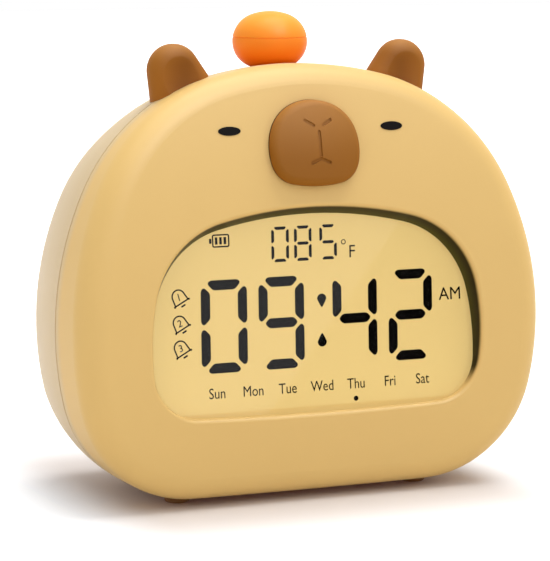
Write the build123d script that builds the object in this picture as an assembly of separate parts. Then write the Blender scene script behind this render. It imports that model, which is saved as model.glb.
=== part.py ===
from build123d import *
from math import cos, radians, sin, sqrt, tan
import os

# Bedside alarm clock for a child, with a night light, in the shape of a small round animal head.
# Millimetres. +Z is up, the face looks along -Y, and the origin is on the table under the middle.
# Two moulded shells meet on an upright parting plane. The front one carries the display, the snout
# and the eyes; the rear one carries the battery, the speaker, the buttons and the orange on top.

# ---- body ----------------------------------------------------------------------------------------
BODY_TOP = 103.2            # highest point of the head, without ears and orange
# Crown, shoulder, side and cheek: the radius of each and the angle where it ends.
BODY_ARCS = [(89.5, 75.9), (46.9, 24.2), (79.5, -12.4), (29.0, -89.5)]
PARTING_Y = -11.2           # plane where the two shells meet
BACK_Y = 29.8               # flat of the rear shell
WALL = 2.2
FACE_R = 222.0              # the face is a slightly crowned cylinder, upright at FACE_Z
FACE_Y = -29.5
FACE_Z = 35.0
FRONT_FILLET = 6.4
REAR_FILLET = 15.0
REAR_TAPER = 9.1            # how far the outline has shrunk at the back
REAR_DROP = 2.3             # and how far it has come down there
REAR_CURVE = 1.5            # it shrinks with this power of the depth, so the shells meet smoothly
REAR_SECTIONS = 4
GROOVE = 0.25               # chamfer of the front shell and step of the rear one at the parting line
LIP_DEPTH = 1.6             # tongue of the front shell inside the rear one
LIP_OUT = 1.15

# ---- display -------------------------------------------------------------------------------------
LEAN = 6.0                  # degrees that the display leans back
DISPLAY_Y = -25.6           # front of the clear cover at DISPLAY_Z
DISPLAY_Z = 43.0
WINDOW_TOP = 25.4           # top of the window above DISPLAY_Z, along the leaning plane
WINDOW_ARCS = [(100.0, 76.0), (22.0, 12.0), (60.0, -4.0), (11.0, -88.0)]
DISH_REACH = 8.0            # the drafted wall of the recess, grown and raised over this height
DISH_GROWTH = 2.8
DISH_RISE = 1.2
DISH_LIP = 0.9              # rounding of the rim
BEZEL_LAND = 3.6            # ring of the shell that the cover is glued to
COVER_T = 1.2
COVER_LAND = 1.8            # how far the cover goes under the ring
COVER_GAP = 0.15            # air between the cover and the glass
GLASS_W = 88.0
GLASS_H = 52.0
GLASS_T = 2.0
GLASS_MID = 1.6             # middle of the glass above DISPLAY_Z
GUIDE_T = 2.5
GUIDE_H = 46.0
LAMP_LEVELS = (-10.0, 4.0, 18.0)    # the backlight lamps, above DISPLAY_Z
LAMP_W = 4.0
LAMP_T = 1.6
FRAME_FLOOR = 1.5
FRAME_RIM = 2.4
FRAME_OPENING = (54.0, 20.0, 10.0)  # width, height and middle of the window in the frame's floor
FRAME_EAR = (5.0, 5.6)      # width and height of the lugs that its screws go through
FIT = 0.2                   # play of the glass in its frame
POCKET_PLAY = 0.3           # play of the frame in the front shell
FRAME_SCREWS = [(49.6, -19.0), (49.6, 20.0)]
FRAME_BOSS_R = 2.7
BOARD_T = 1.6
BOARD_GAP = 2.4             # standoffs between the frame and the main board
BOARD_W = 76.0
BOARD_H = 40.0
BOARD_MID = -6.5
BOARD_SCREWS = [(34.0, -18.0), (34.0, 8.0)]
ZEBRA_V = -23.2             # contact strip between glass and board
ZEBRA_W = 66.0
ZEBRA_T = 1.8
CHIP = (0.0, -4.0, 11.0, 1.4)           # place, side and height of the clock chip
CRYSTAL = (12.0, -4.0, 1.1, 6.0)        # place, radius and length of the crystal's can
SENSOR = (-22.0, -22.0, 2.0, 1.2, 0.9)  # place, width, depth and height of the temperature sensor
PLUG = (-20.0, -12.0, 8.0, 5.0, 4.4)    # and of the battery plug

# ---- face ----------------------------------------------------------------------------------------
SNOUT_TOP = 95.1
SNOUT_ARCS = [(12.4, 60.8), (10.4, 13.3), (14.0, -13.7), (6.35, -80.3)]
SNOUT_R = 48.0              # the muzzle's front is a barrel: this radius upright, about the axis
SNOUT_CROSS_R = 34.5        # and this one across
SNOUT_AXIS_Y = 18.8
SNOUT_AXIS_Z = 75.2
SNOUT_FILLET = 2.1
SNOUT_LINE = 0.35           # depth of the nose and mouth grooves
SNOUT_LINE_W = 0.8
SNOUT_BRIDGE = (0.0, 85.2, 6.2, 90.0)   # x, z, length and slope of the groove between nose and mouth
SNOUT_NOSTRIL = (2.25, 90.0, 3.1, 29.0)
SNOUT_MOUTH = (1.2, 81.2, 3.1, -23.0)
SNOUT_PEG_X = 6.0
SNOUT_PEG_Z = 85.0
SNOUT_PEG_R = 1.5
SNOUT_BOSS_R = 3.6
NUT_R = 3.4
NUT_T = 0.6
SNOUT_BOSS_Y = -19.4        # flat end of the two bosses that the pegs go through
EYE_X = 21.0
EYE_Z = 88.35
EYE_W = 5.7
EYE_H = 2.1
EYE_PROUD = 0.12
EYE_BACK_Y = -20.6

# ---- ears ----------------------------------------------------------------------------------------
EAR_TIP = (29.7, 102.0, 6.3)    # x, z and radius of the circle at the tip
EAR_ROOT = (27.1, 95.2, 8.1)    # and of the circle at the root
EAR_FRONT_Y = -13.7
EAR_T = 7.9
EAR_FILLET = 3.6
EAR_DISH = (29.4, 100.8)    # x and z of the middle of the shallow dish in front
EAR_DISH_R = 20.0
EAR_DISH_DEPTH = 0.6
EAR_DISH_LIP = 0.8          # rounding of its rim
TENON_W = 7.0
TENON_T = 4.4
TENON_H = 16.0
EAR_FLANGE_W = 11.0
EAR_FLANGE_H = 26.0
EAR_FLANGE_T = 1.5
EAR_FLANGE_PLAY = 0.3

# ---- orange push button on the head --------------------------------------------------------------
ORANGE_Y = 1.2
ORANGE_R = 9.1
ORANGE_LOW_R = 6.4          # rounding of its side below the widest height
ORANGE_SIDE_R = 7.0         # rounding of its side above it
ORANGE_CROWN_R = 13.4       # rounding of its top
ORANGE_NECK_R = 4.8         # neck below it, in the pocket
ORANGE_BASE_Z = 99.7        # flat end of the neck
ORANGE_MID_Z = 107.8        # height where it is widest
ORANGE_SEAM_Z = 108.9       # line where its two halves are joined
ORANGE_SEAM = 0.25          # side of the square that cuts the seam, on its corner
ORANGE_TRAVEL = 0.8
POCKET_R = 9.0              # thick round of the shell under the pocket that it sinks into
POCKET_LOW_Z = 97.0
COLLAR_R = 7.4              # low mound round the pocket, level where the crown falls away behind it
COLLAR_FOOT_R = 11.2
COLLAR_H = 4.6
COLLAR_Z = 101.35
COLLAR_TILT = 7.5
COLLAR_FILLET = 1.2
STEM_R = 3.0
RUNNING_FIT = 0.08          # radial clearance of stems and plungers in their guides
GUIDE_R = 5.0
GUIDE_END_Z = 95.0
CLIP_R = 5.2
CLIP_T = 1.0
BODY_GAP = 0.35             # clearance between moving and fixed faces
STEM_END_Z = 91.5
TOP_BOARD_Z = 86.0          # upper face of the small board under the orange
TOP_BOARD_W = 30.0
TOP_BOARD_D = 16.0
TOP_POST_X = 12.0
TOP_POST_R = 2.5
LED_X = 4.8                 # the lamps shine up into the fruit's stem
LED_R = 1.5
LED_TOP_Z = 90.6

# ---- tact switches -------------------------------------------------------------------------------
SWITCH_W = 6.0
SWITCH_H = 3.6
SWITCH_BORE_FLOOR = 1.0
PLUNGER_R = 1.6
PLUNGER_DEPTH = 1.4         # how far the plunger reaches into the switch

# ---- rear: buttons, slide switch, speaker, charging socket ---------------------------------------
BUTTON_Z = 64.0
BUTTONS = {"set": -24.0, "up": -8.0, "down": 8.0, "light": 24.0}    # x as seen from behind
BUTTON_R = 4.2
BUTTON_PLAY = 0.3
BUTTON_PROUD = 1.2
BUTTON_FLANGE_R = 5.5
BUTTON_FLANGE_T = 2.2
KEY_BOARD_Y = 20.0          # rear face of the button board
KEY_BOARD_W = 68.0
KEY_BOARD_H = 25.0
KEY_BOARD_MID = 59.0
KEY_POST_X = 16.0
KEY_POST_R = 2.0
SLIDER_Z = 53.2
SLIDER_TRAVEL = 3.0
SLIDER_W = 4.0
SLIDER_H = 2.6
SLIDER_PROUD = 1.0
SLIDER_FLANGE = (12.0, 5.2, 0.9)    # width, height and thickness of the plate behind the slot
LEVER_W = 1.8
LEVER_H = 1.2
SLIDE_BODY = (11.0, 5.0, 4.2)       # width, height and depth of the switch behind it
SPEAKER_Z = 37.6
SPEAKER_R = 10.0
SPEAKER_T = 6.0
MAGNET_R = 6.5
GRILLE_SLOTS = [(-6.0, 10.0), (-3.0, 14.0), (0.0, 16.0), (3.0, 14.0), (6.0, 10.0)]
GRILLE_SLOT_H = 1.4
USB_Z = 22.8
USB_W = 9.0
USB_H = 3.2
USB_DEPTH = 7.4
USB_SUNK = 0.6              # its mouth below the rear face
USB_PLAY = 0.4
USB_WALL = 0.35
USB_TONGUE_W = 6.6
USB_TONGUE_T = 0.7
USB_BOARD_W = 16.0
USB_BOARD_T = 1.0

# ---- battery and fasteners -----------------------------------------------------------------------
CELL_R = 9.2
CELL_L = 62.0
CELL_CAP_R = 3.0
CELL_CAP_H = 1.0
STRAP_W = 10.0
STRAP_T = 1.0
CELL_Y = 4.4
CELL_Z = 16.4
SADDLE_X = 20.0
SADDLE_T = 2.0
SHELL_SCREWS = [(36.6, 13.6), (17.0, 78.0)]     # x and z, mirrored
BOSS_R = 3.2
BOSS_MEET_Y = 4.0           # where front and rear bosses meet
SCREW_R = 1.1
SCREW_HEAD_R = 2.3
SCREW_HEAD_T = 1.5
PILOT_R = 0.9               # the small screws inside, and their holes
SMALL_HEAD_R = 1.9
FOOT_R = 3.0
FOOT_SEAT_Z = 3.2           # the rubber pads are glued in this high
FEET = [(31.3, -15.0), (28.0, 11.0)]            # x and y, mirrored
LEG_END_Z = 1.6             # the rear pads sit in two moulded legs
LEG_ROOT_Z = 9.0
LEG_R = 4.3
LEG_ROOT_R = 6.6
LEG_FILLET = 0.8

FRONT_VIEW = Plane.XZ                                            # x right, y up, z towards -Y
REAR_VIEW = Plane(origin=(0, 0, 0), x_dir=(-1, 0, 0), z_dir=(0, 1, 0))
DISPLAY = Plane(origin=(0, DISPLAY_Y, DISPLAY_Z), x_dir=(1, 0, 0),
                z_dir=(0, -cos(radians(LEAN)), sin(radians(LEAN))))
TOP_VIEW = Plane.XY

# Levels of the display stack, measured along the normal of the cover.
COVER_BACK = -COVER_T
GLASS_FRONT = COVER_BACK - COVER_GAP
GLASS_BACK = GLASS_FRONT - GLASS_T
GUIDE_BACK = GLASS_BACK - GUIDE_T
FRAME_BACK = GUIDE_BACK - FRAME_FLOOR
BOARD_FRONT = FRAME_BACK - BOARD_GAP
BOARD_BACK = BOARD_FRONT - BOARD_T


# ---- helpers -------------------------------------------------------------------------------------
def arc_outline(top, arcs, inset=0.0, rise=0.0):
    """Face bounded by tangent arcs, symmetric about the middle, that starts at its top point."""
    x, z, start = 0.0, top - arcs[0][0], 90.0
    edges = []
    for number, (radius, end) in enumerate(arcs):
        if number == 0:
            edges.append(CenterArc((x, z), radius - inset, end, 180 - 2 * end))
        else:
            edges.append(CenterArc((x, z), radius - inset, end, start - end))
            edges.append(CenterArc((-x, z), radius - inset, 180 - start, start - end))
        following = arcs[number + 1][0] if number + 1 < len(arcs) else radius + x / cos(radians(end))
        x += (radius - following) * cos(radians(end))
        z += (radius - following) * sin(radians(end))
        start = end
    edges.append(CenterArc((0, z), following - inset, -180 - start, 180 + 2 * start))
    return Pos(0, rise) * make_face(edges)


def peg(plane, x, y, radius, low, high):
    """Cylinder that stands on a plane at (x, y), from one height above it to another."""
    return plane * Pos(x, y, (low + high) / 2) * Cylinder(radius, high - low)


def tube(plane, x, y, outer, inner, low, high):
    return peg(plane, x, y, outer, low, high) - peg(plane, x, y, inner, low - 1, high + 1)


def block(plane, x, y, width, height, low, high):
    return plane * Pos(x, y, (low + high) / 2) * Box(width, height, high - low)


def prism(plane, sketch, low, high):
    """Any flat outline drawn on a plane, given thickness from one height to another."""
    return extrude(plane.offset(low) * sketch, amount=high - low, dir=plane.z_dir)


def screw(plane, x, y, seat, length, radius=SCREW_R, head=SCREW_HEAD_R):
    """Pan-head screw: its head stands on the seat and its shank goes down from it."""
    dome = peg(plane, x, y, head, seat, seat + SCREW_HEAD_T)
    foot = plane.from_local_coords((x, y, seat))
    dome = fillet(dome.edges().sort_by(lambda edge: edge.distance_to(foot))[-1:], 0.6)
    return dome + peg(plane, x, y, radius, seat - length, seat)


def mirrored(points):
    return [(side * x, y) for side in (-1, 1) for x, y in points]


def group(solids):
    """Identical loose pieces that share one node."""
    return Compound(children=[solid for piece in solids for solid in piece.solids()])


# ---- the head's outer and inner surfaces ---------------------------------------------------------
def head_outline(inset, y):
    along = max(0.0, (y - PARTING_Y) / (BACK_Y - PARTING_Y))
    taper = REAR_TAPER * along ** REAR_CURVE
    return FRONT_VIEW.offset(-y) * arc_outline(BODY_TOP, BODY_ARCS, inset + taper, -REAR_DROP * along)


def front_head(inset):
    """Front half of the head, all round this far inside the outer surface."""
    depth = PARTING_Y - FACE_Y + 1
    solid = extrude(head_outline(inset, PARTING_Y), amount=depth, dir=(0, -1, 0))
    axis_y = FACE_Y + FACE_R
    solid &= Pos(0, axis_y, FACE_Z) * Rot(0, 90, 0) * Cylinder(FACE_R - inset, 200)
    def on_face(edge):
        return all(abs(sqrt((p.Y - axis_y) ** 2 + (p.Z - FACE_Z) ** 2) - FACE_R + inset) < 0.01
                   for p in (edge @ 0, edge @ 0.5, edge @ 1))
    return fillet(solid.edges().filter_by(on_face), FRONT_FILLET - inset)


def rear_head(inset):
    step = (BACK_Y - inset - PARTING_Y) / (REAR_SECTIONS - 1)
    solid = loft([head_outline(inset, PARTING_Y + step * number) for number in range(REAR_SECTIONS)])
    rim = solid.faces().sort_by(Axis.Y)[-1].edges()
    return fillet(rim, REAR_FILLET - inset)


# ---- display recess and window -------------------------------------------------------------------
def window(grow=0.0, rise=0.0):
    return arc_outline(WINDOW_TOP, WINDOW_ARCS, -grow, rise)


def dish_tool():
    low = DISPLAY * window()
    high = DISPLAY.offset(DISH_REACH) * window(DISH_GROWTH, DISH_RISE)
    return loft([low, high], ruled=True)


def ear_profile():
    circles = [Pos(x, z) * Circle(radius) for x, z, radius in (EAR_TIP, EAR_ROOT)]
    return make_hull([edge for circle in circles for edge in circle.edges()])


def tenon_block(side):
    return block(FRONT_VIEW, side * EAR_ROOT[0], EAR_ROOT[1], TENON_W, TENON_H,
                 -PARTING_Y - TENON_T / 2, -PARTING_Y + TENON_T / 2)


def eye_outline(side):
    return Pos(side * EYE_X, EYE_Z) * Ellipse(EYE_W / 2, EYE_H / 2)


# ---- shells --------------------------------------------------------------------------------------
def groove_edges(solid):
    def outer(edge):
        return all(abs(p.Y - PARTING_Y) < 0.001 for p in (edge @ 0, edge @ 0.5, edge @ 1))
    face = [f for f in solid.faces() if abs(f.center().Y - PARTING_Y) < 0.001]
    return face[0].edges().filter_by(outer)


def make_front_shell(outer, inner):
    outer = chamfer(groove_edges(outer), GROOVE)
    shell = outer - inner
    # Ring behind the face that the display cover is glued to.
    shell += prism(DISPLAY, window(BEZEL_LAND), 0, 12) & outer
    # Tongue that centres the rear shell.
    tongue = extrude(head_outline(LIP_OUT, PARTING_Y) - head_outline(WALL, PARTING_Y),
                     amount=LIP_DEPTH, dir=(0, 1, 0))
    shell += tongue
    # Bosses: long ones for the shell screws, short ones for the display frame and the snout.
    trim = front_head(WALL / 2)
    for x, z in mirrored(SHELL_SCREWS):
        root = peg(FRONT_VIEW, x, z, BOSS_R, -PARTING_Y, 40) & trim
        shell += root + peg(FRONT_VIEW, x, z, BOSS_R, -BOSS_MEET_Y, -PARTING_Y)
    for x, v in mirrored(FRAME_SCREWS):
        shell += peg(DISPLAY, x, v, FRAME_BOSS_R, GUIDE_BACK, 12) & trim
    for side in (-1, 1):
        shell += peg(FRONT_VIEW, side * SNOUT_PEG_X, SNOUT_PEG_Z, SNOUT_BOSS_R, -SNOUT_BOSS_Y, 40) & trim
    # Recess with drafted walls and a rounded rim, and the pocket of the cover and its frame.
    shell -= dish_tool()
    shell = fillet([edge for edge in shell.edges() if on_rim(edge)], DISH_LIP)
    shell -= prism(DISPLAY, window(COVER_LAND + 0.1), COVER_BACK, 0)
    rim = 2 * (FRAME_RIM + POCKET_PLAY)
    shell -= block(DISPLAY, 0, GLASS_MID, GLASS_W + rim, GLASS_H + rim, FRAME_BACK - 6, COVER_BACK)
    for x, z in mirrored(SHELL_SCREWS):
        shell -= peg(FRONT_VIEW, x, z, SCREW_R, -BOSS_MEET_Y - 1, -BOSS_MEET_Y + 12)
    for x, v in mirrored(FRAME_SCREWS):
        shell -= peg(DISPLAY, x, v, PILOT_R, GUIDE_BACK - 1, GUIDE_BACK + 5)
    for side in (-1, 1):
        shell -= peg(FRONT_VIEW, side * SNOUT_PEG_X, SNOUT_PEG_Z, SNOUT_PEG_R, 10, 40)
        shell -= prism(FRONT_VIEW, eye_outline(side), 0, 40)
        shell -= tenon_block(side)
        shell -= peg(TOP_VIEW, side * FEET[0][0], FEET[0][1], FOOT_R, -1, FOOT_SEAT_Z)
    return shell


def on_rim(edge):
    """Edges where the drafted wall of the recess meets the face."""
    for at in (0.0, 0.5, 1.0):
        point = edge @ at
        reach = sqrt((point.Y - FACE_Y - FACE_R) ** 2 + (point.Z - FACE_Z) ** 2)
        if abs(reach - FACE_R) > 0.01 or abs(point.X) > 48 or not 15 < point.Z < 74:
            return False
    return True


def make_rear_shell(outer, inner):
    seam = head_outline(-2, PARTING_Y) - head_outline(GROOVE, PARTING_Y)
    shell = outer - inner - extrude(seam, amount=GROOVE, dir=(0, 1, 0))
    for side in (-1, 1):
        leg = Cone(LEG_R, LEG_ROOT_R, LEG_ROOT_Z - LEG_END_Z)
        leg = fillet(leg.edges().sort_by(Axis.Z)[:1], LEG_FILLET)
        shell += Pos(side * FEET[1][0], FEET[1][1], (LEG_END_Z + LEG_ROOT_Z) / 2) * leg - inner
    trim = rear_head(WALL / 2)
    rear_wall = BACK_Y - WALL
    for x, z in mirrored(SHELL_SCREWS):
        shell += peg(FRONT_VIEW, x, z, BOSS_R + 0.8, -40, -BOSS_MEET_Y) & trim
    for side in (-1, 1):
        # Posts of the button board and of the small board under the orange.
        shell += peg(REAR_VIEW, side * KEY_POST_X, BUTTON_Z, KEY_POST_R, KEY_BOARD_Y, rear_wall + 1)
        shell += peg(TOP_VIEW, side * TOP_POST_X, ORANGE_Y, TOP_POST_R, TOP_BOARD_Z, 110) & trim
        # Saddles that the battery lies in.
        saddle = block(TOP_VIEW, side * SADDLE_X, CELL_Y, SADDLE_T, 2 * CELL_R + 3, 0, CELL_Z - 2) & trim
        shell += saddle - Pos(0, CELL_Y, CELL_Z) * Rot(0, 90, 0) * Cylinder(CELL_R, 120)
    # Mound and floor of the orange's pocket, guide of its stem, and the ring that locates the speaker.
    shell += orange_collar() - inner
    shell += peg(TOP_VIEW, 0, ORANGE_Y, POCKET_R, POCKET_LOW_Z, 110) & trim
    shell += peg(TOP_VIEW, 0, ORANGE_Y, GUIDE_R, GUIDE_END_Z, 110) & trim
    shell += tube(REAR_VIEW, 0, SPEAKER_Z, SPEAKER_R + 1.2, SPEAKER_R, rear_wall - 3, rear_wall + 1)
    # Everything that is open.
    shell -= extrude(head_outline(LIP_OUT - 0.05, PARTING_Y), amount=LIP_DEPTH + 0.1, dir=(0, 1, 0))
    shell -= Pos(0, 0, -ORANGE_TRAVEL) * orange_body(BODY_GAP)
    shell -= peg(TOP_VIEW, 0, ORANGE_Y, STEM_R + RUNNING_FIT, 80, 120)
    for x, z in mirrored(SHELL_SCREWS):
        shell -= peg(FRONT_VIEW, x, z, SCREW_HEAD_R + 0.2, -60, -BOSS_MEET_Y - 2)
        shell -= peg(FRONT_VIEW, x, z, SCREW_R, -60, 0)
    for x in BUTTONS.values():
        shell -= peg(REAR_VIEW, x, BUTTON_Z, BUTTON_R + BUTTON_PLAY, rear_wall - 1, 40)
    slot = SLIDER_W + SLIDER_TRAVEL + 2 * BODY_GAP
    shell -= block(REAR_VIEW, 0, SLIDER_Z, slot, SLIDER_H + 2 * BODY_GAP, rear_wall - 1, 40)
    for rise, length in GRILLE_SLOTS:
        shell -= prism(REAR_VIEW, Pos(0, SPEAKER_Z + rise) * SlotOverall(length, GRILLE_SLOT_H),
                       rear_wall - 1, 40)
    shell -= prism(REAR_VIEW, Pos(0, USB_Z) * RectangleRounded(USB_W + USB_PLAY, USB_H + USB_PLAY, 1.6),
                   rear_wall - 1, 40)
    for side in (-1, 1):
        shell -= peg(REAR_VIEW, side * KEY_POST_X, BUTTON_Z, PILOT_R, KEY_BOARD_Y - 1, rear_wall)
        shell -= peg(TOP_VIEW, side * TOP_POST_X, ORANGE_Y, PILOT_R, TOP_BOARD_Z - 1, TOP_BOARD_Z + 6)
        shell -= tenon_block(side)
        shell -= peg(TOP_VIEW, side * FEET[1][0], FEET[1][1], FOOT_R, -1, FOOT_SEAT_Z)
    return shell


def orange_collar():
    """Flat-topped mound, tilted back, that blends the orange's pocket into the falling crown."""
    mound = Cone(COLLAR_FOOT_R, COLLAR_R, COLLAR_H)
    mound = fillet(mound.edges().sort_by(Axis.Z)[-1:], COLLAR_FILLET)
    return Pos(0, ORANGE_Y, COLLAR_Z) * Rot(-COLLAR_TILT, 0, 0) * Pos(0, 0, -COLLAR_H / 2) * mound


# ---- display stack -------------------------------------------------------------------------------
def make_display_cover():
    return prism(DISPLAY, window(COVER_LAND), COVER_BACK, 0)


def make_display_glass():
    """Two sheets of glass with the liquid crystal between them; the rear one has the contact ledge."""
    middle = GLASS_FRONT - GLASS_T / 2
    front = block(DISPLAY, 0, GLASS_MID + 2, GLASS_W, GLASS_H - 4, middle, GLASS_FRONT)
    return front + block(DISPLAY, 0, GLASS_MID, GLASS_W, GLASS_H, GLASS_BACK, middle)


def make_light_guide():
    mid = GLASS_MID + (GLASS_H - GUIDE_H) / 2
    return prism(DISPLAY, Pos(0, mid) * RectangleRounded(GLASS_W - 1, GUIDE_H, 2), GUIDE_BACK, GLASS_BACK)


def make_backlight_leds():
    """Side-firing lamps on both short edges of the light guide."""
    lamps = []
    for side in (-1, 1):
        for v in LAMP_LEVELS:
            lamps.append(block(DISPLAY, side * (GLASS_W / 2 + 0.6), v, LAMP_T, LAMP_W,
                               GUIDE_BACK + 0.4, GLASS_BACK - 0.3))
    return group(lamps)


def make_display_frame():
    width, height = GLASS_W + 2 * FRAME_RIM, GLASS_H + 2 * FRAME_RIM
    frame = prism(DISPLAY, Pos(0, GLASS_MID) * RectangleRounded(width, height, 2), FRAME_BACK, COVER_BACK)
    frame -= block(DISPLAY, 0, GLASS_MID, GLASS_W + 2 * FIT, GLASS_H + 2 * FIT, GUIDE_BACK, 5)
    frame -= block(DISPLAY, 0, ZEBRA_V, ZEBRA_W + 0.6, ZEBRA_T + 0.6, FRAME_BACK - 1, 5)
    opening_w, opening_h, opening_mid = FRAME_OPENING
    frame -= block(DISPLAY, 0, opening_mid, opening_w, opening_h, FRAME_BACK - 1, GUIDE_BACK + 1)
    ear_w, ear_h = FRAME_EAR
    for x, v in mirrored(FRAME_SCREWS):
        side = 1 if x > 0 else -1
        ear = block(DISPLAY, x - side * ear_w / 2, v, ear_w, ear_h, FRAME_BACK, GUIDE_BACK)
        frame += ear + peg(DISPLAY, x, v, ear_h / 2, FRAME_BACK, GUIDE_BACK)
    frame -= prism(DISPLAY, Pos(0, GLASS_MID) * Rectangle(GLASS_W + 2 * FIT, GLASS_H + 2 * FIT),
                   GUIDE_BACK, 5)
    for x, v in mirrored(FRAME_SCREWS):
        frame -= peg(DISPLAY, x, v, PILOT_R, FRAME_BACK - 1, GUIDE_BACK + 1)
    for side in (-1, 1):
        for v in LAMP_LEVELS:
            frame -= block(DISPLAY, side * (GLASS_W / 2 + 0.6), v, LAMP_T + 2 * FIT, LAMP_W + 2 * FIT,
                           GUIDE_BACK, 5)
    for x, v in mirrored(BOARD_SCREWS):
        frame += peg(DISPLAY, x, v, 2.4, BOARD_FRONT, FRAME_BACK)
        frame -= peg(DISPLAY, x, v, PILOT_R, BOARD_FRONT - 1, BOARD_FRONT + 3.4)
    return frame


def make_zebra_strip():
    return block(DISPLAY, 0, ZEBRA_V, ZEBRA_W, ZEBRA_T, BOARD_FRONT, GLASS_BACK)


def make_main_board():
    board = prism(DISPLAY, Pos(0, BOARD_MID) * RectangleRounded(BOARD_W, BOARD_H, 2),
                  BOARD_BACK, BOARD_FRONT)
    for x, v in mirrored(BOARD_SCREWS):
        board -= peg(DISPLAY, x, v, PILOT_R, BOARD_BACK - 1, BOARD_FRONT + 1)
    return board


def make_clock_chip():
    x, v, side, height = CHIP
    return block(DISPLAY, x, v, side, side, BOARD_BACK - height, BOARD_BACK)


def make_crystal():
    x, v, radius, length = CRYSTAL
    return DISPLAY * Pos(x, v, BOARD_BACK - radius) * Rot(90, 0, 0) * Cylinder(radius, length)


def make_temperature_sensor():
    x, v, width, depth, height = SENSOR
    return block(DISPLAY, x, v, width, depth, BOARD_BACK - height, BOARD_BACK)


def make_battery_plug():
    x, v, width, depth, height = PLUG
    return block(DISPLAY, x, v, width, depth, BOARD_BACK - height, BOARD_BACK)


# ---- face pieces ---------------------------------------------------------------------------------
def barrel(depth=0.0):
    """Barrel that bounds the muzzle in front, or the floor of its grooves this deep below it."""
    half = 16.0
    middle = SNOUT_R - depth
    ends = middle - SNOUT_CROSS_R + sqrt(SNOUT_CROSS_R ** 2 - half ** 2)
    profile = make_face([Line((-half, 0), (half, 0)), Line((half, 0), (half, ends)),
                         ThreePointArc((half, ends), (0, middle), (-half, ends)),
                         Line((-half, ends), (-half, 0))])
    return Pos(0, SNOUT_AXIS_Y, SNOUT_AXIS_Z) * revolve(profile, Axis.X)


def make_snout(outer):
    snout = prism(FRONT_VIEW, arc_outline(SNOUT_TOP, SNOUT_ARCS), 16, 34) & barrel()
    snout = fillet(snout.faces().sort_by(Axis.Y)[0].edges(), SNOUT_FILLET) - outer
    strokes = [SNOUT_BRIDGE]
    strokes += [(side * x, z, length, side * slope) for side in (-1, 1)
                for x, z, length, slope in (SNOUT_NOSTRIL, SNOUT_MOUTH)]
    floor = barrel(SNOUT_LINE)
    for x, z, length, slope in strokes:
        line = Pos(x, z) * Rot(0, 0, slope) * SlotOverall(length, SNOUT_LINE_W)
        snout -= prism(FRONT_VIEW, line, 10, 40) - floor
    for side in (-1, 1):
        snout += peg(FRONT_VIEW, side * SNOUT_PEG_X, SNOUT_PEG_Z, SNOUT_PEG_R, -SNOUT_BOSS_Y - 2, 25.5)
    return snout


def make_snout_nuts():
    nuts = []
    for side in (-1, 1):
        nuts.append(tube(FRONT_VIEW, side * SNOUT_PEG_X, SNOUT_PEG_Z, NUT_R, SNOUT_PEG_R,
                         -SNOUT_BOSS_Y - NUT_T, -SNOUT_BOSS_Y))
    return group(nuts)


def make_eye(side, skin):
    return prism(FRONT_VIEW, eye_outline(side), -EYE_BACK_Y, 40) & skin


def on_sphere(edge, centre_y):
    """Edges of the ear's shallow dish."""
    centre = Vector(EAR_DISH[0], centre_y, EAR_DISH[1])
    return all(abs((edge @ at - centre).length - EAR_DISH_R) < 0.01 for at in (0.0, 0.4, 0.8))


def make_ear(side, outer, cavity, deep):
    lobe = prism(FRONT_VIEW, ear_profile(), -EAR_FRONT_Y - EAR_T, -EAR_FRONT_Y)
    rims = lobe.faces().sort_by(Axis.Y)
    lobe = fillet(rims[0].edges() + rims[-1].edges(), EAR_FILLET)
    dish_y = EAR_FRONT_Y - EAR_DISH_R + EAR_DISH_DEPTH
    lobe -= Pos(EAR_DISH[0], dish_y, EAR_DISH[1]) * Sphere(EAR_DISH_R)
    lobe = fillet([edge for edge in lobe.edges() if on_sphere(edge, dish_y)], EAR_DISH_LIP)
    if side < 0:
        lobe = lobe.mirror(Plane.YZ)
    half = TENON_T / 2 - EAR_FLANGE_PLAY
    flange = block(FRONT_VIEW, side * EAR_ROOT[0], EAR_ROOT[1], EAR_FLANGE_W, EAR_FLANGE_H,
                   -PARTING_Y - half, -PARTING_Y + half)
    flange &= cavity - deep
    tenon = (tenon_block(side) & outer) - deep
    return (lobe - outer) + tenon + flange


# ---- orange push button --------------------------------------------------------------------------
def orange_body(grow=0.0):
    """The fruit turned about its axis: neck, two side arcs and a crown."""
    widest, neck = ORANGE_R + grow, ORANGE_NECK_R + grow
    base = ORANGE_BASE_Z - grow
    low_r, side_r, crown_r = ORANGE_LOW_R + grow, ORANGE_SIDE_R + grow, ORANGE_CROWN_R + grow
    low_x, side_x = ORANGE_R - ORANGE_LOW_R, ORANGE_R - ORANGE_SIDE_R
    root = (neck, ORANGE_MID_Z - sqrt(low_r ** 2 - (neck - low_x) ** 2))
    belly = (low_x + low_r * cos(radians(40)), ORANGE_MID_Z - low_r * sin(radians(40)))
    crown_z = ORANGE_MID_Z - sqrt((crown_r - side_r) ** 2 - side_x ** 2)
    reach = crown_r / (crown_r - side_r)
    join = (side_x * reach, crown_z + (ORANGE_MID_Z - crown_z) * reach)
    cheek = (side_x + side_r * cos(radians(35)), ORANGE_MID_Z + side_r * sin(radians(35)))
    lean = radians(6)
    crown = (crown_r * sin(lean), crown_z + crown_r * cos(lean))
    top = (0, crown_z + crown_r)
    profile = make_face([Line((0, base), (neck, base)), Line((neck, base), root),
                         ThreePointArc(root, belly, (widest, ORANGE_MID_Z)),
                         ThreePointArc((widest, ORANGE_MID_Z), cheek, join),
                         ThreePointArc(join, crown, top), Line(top, (0, base))])
    return Pos(0, ORANGE_Y, 0) * revolve(FRONT_VIEW * profile, Axis.Z)


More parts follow.
